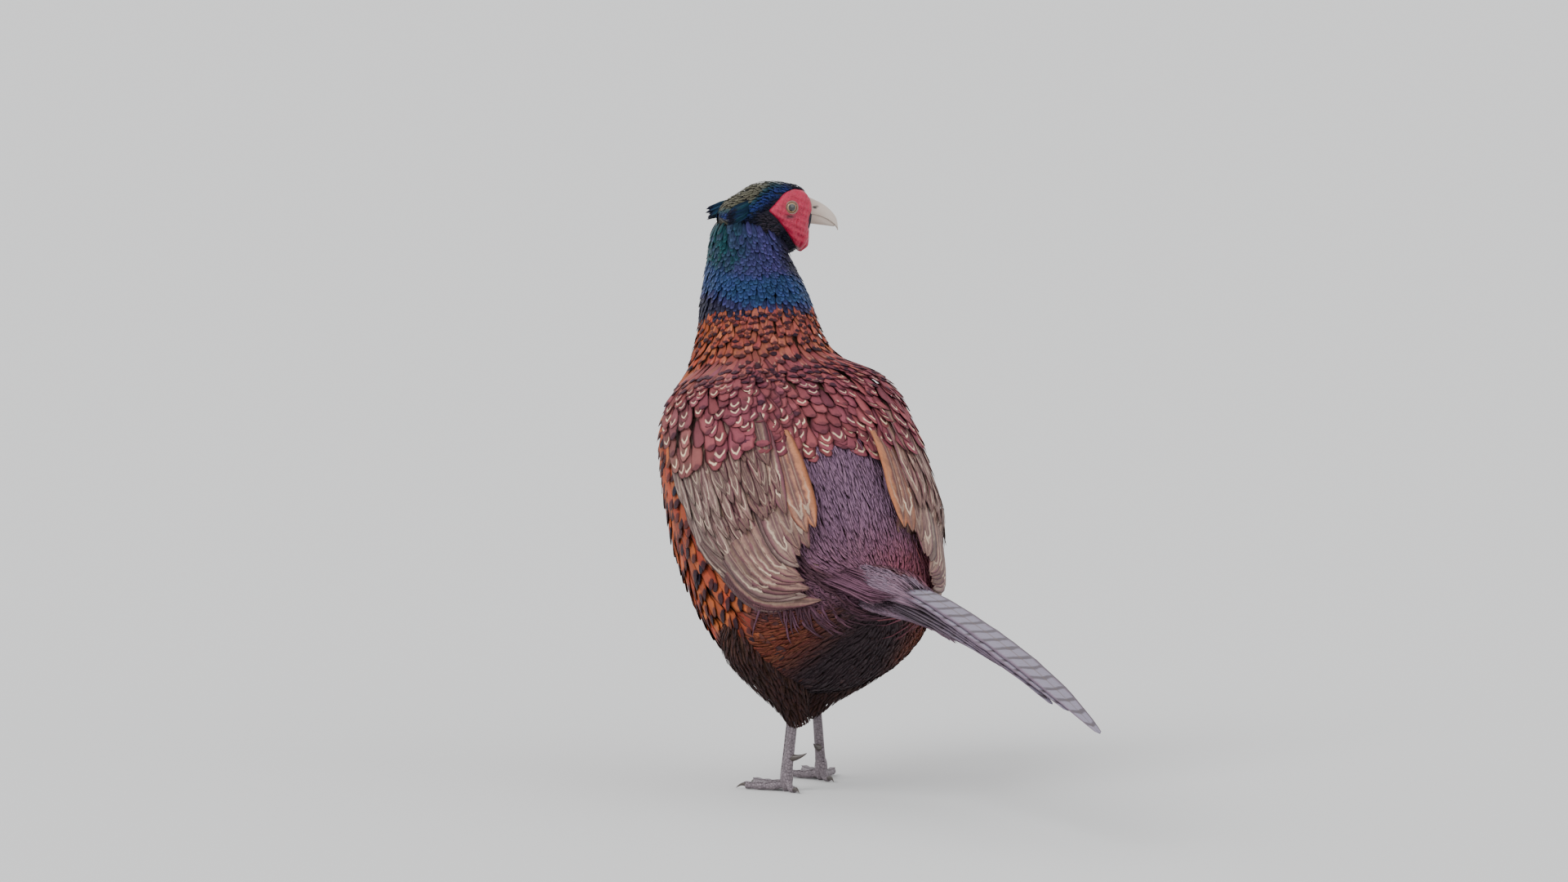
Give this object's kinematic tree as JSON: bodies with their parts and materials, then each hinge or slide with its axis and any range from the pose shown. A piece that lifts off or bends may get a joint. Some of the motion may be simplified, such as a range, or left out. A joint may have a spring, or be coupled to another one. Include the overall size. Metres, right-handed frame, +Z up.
{
  "type": "common pheasant",
  "caption": "Life-size male pheasant standing alert with its head turned over its right shoulder, wings folded and long tail held out behind",
  "frame": {"origin": "on the floor, under the middle of the whole bird's outline seen from above", "axes": "+Z up, -Y the way the body faces, +X the bird's left side; the tail runs towards +Y"},
  "size_m": [0.2134, 0.6784, 0.4704],
  "materials": {
    "body_plumage": "coppery and chestnut body feathers with black tips and cream chevrons",
    "head_plumage": "glossy blue, green and violet feathers",
    "face_skin": "bare red skin with fine warts",
    "eye": "wet eye with a pale buff iris and a black pupil",
    "bill": "pale horn with a soft shine",
    "wing_feathers": "brown and buff feathers with maroon edges and pale lines",
    "tail_feathers": "grey-buff feathers with thin dark bars and mauve fringes",
    "thigh_plumage": "dark brown loose feathers",
    "leg_scales": "grey-lilac horny scutes",
    "claw": "dark horn"
  },
  "bodies": {
    "root": {"claw_left_hind": "claw", "claw_left_inner": "claw", "claw_left_middle": "claw", "claw_left_outer": "claw", "claw_right_hind": "claw", "claw_right_inner": "claw", "claw_right_middle": "claw", "claw_right_outer": "claw", "ear_tuft_left": "head_plumage", "ear_tuft_right": "head_plumage", "eye_left": "eye", "eye_right": "eye", "face_left": "face_skin", "face_right": "face_skin", "foot_left": "leg_scales", "foot_right": "leg_scales", "head": "head_plumage", "lower_bill": "bill", "neck": "head_plumage", "shank_left": "leg_scales", "shank_right": "leg_scales", "spur_left": "claw", "spur_right": "claw", "tail": "tail_feathers", "thigh_left": "thigh_plumage", "thigh_right": "thigh_plumage", "torso": "body_plumage", "upper_bill": "bill", "wing_left": "wing_feathers", "wing_right": "wing_feathers"}
  },
  "joints": []
}
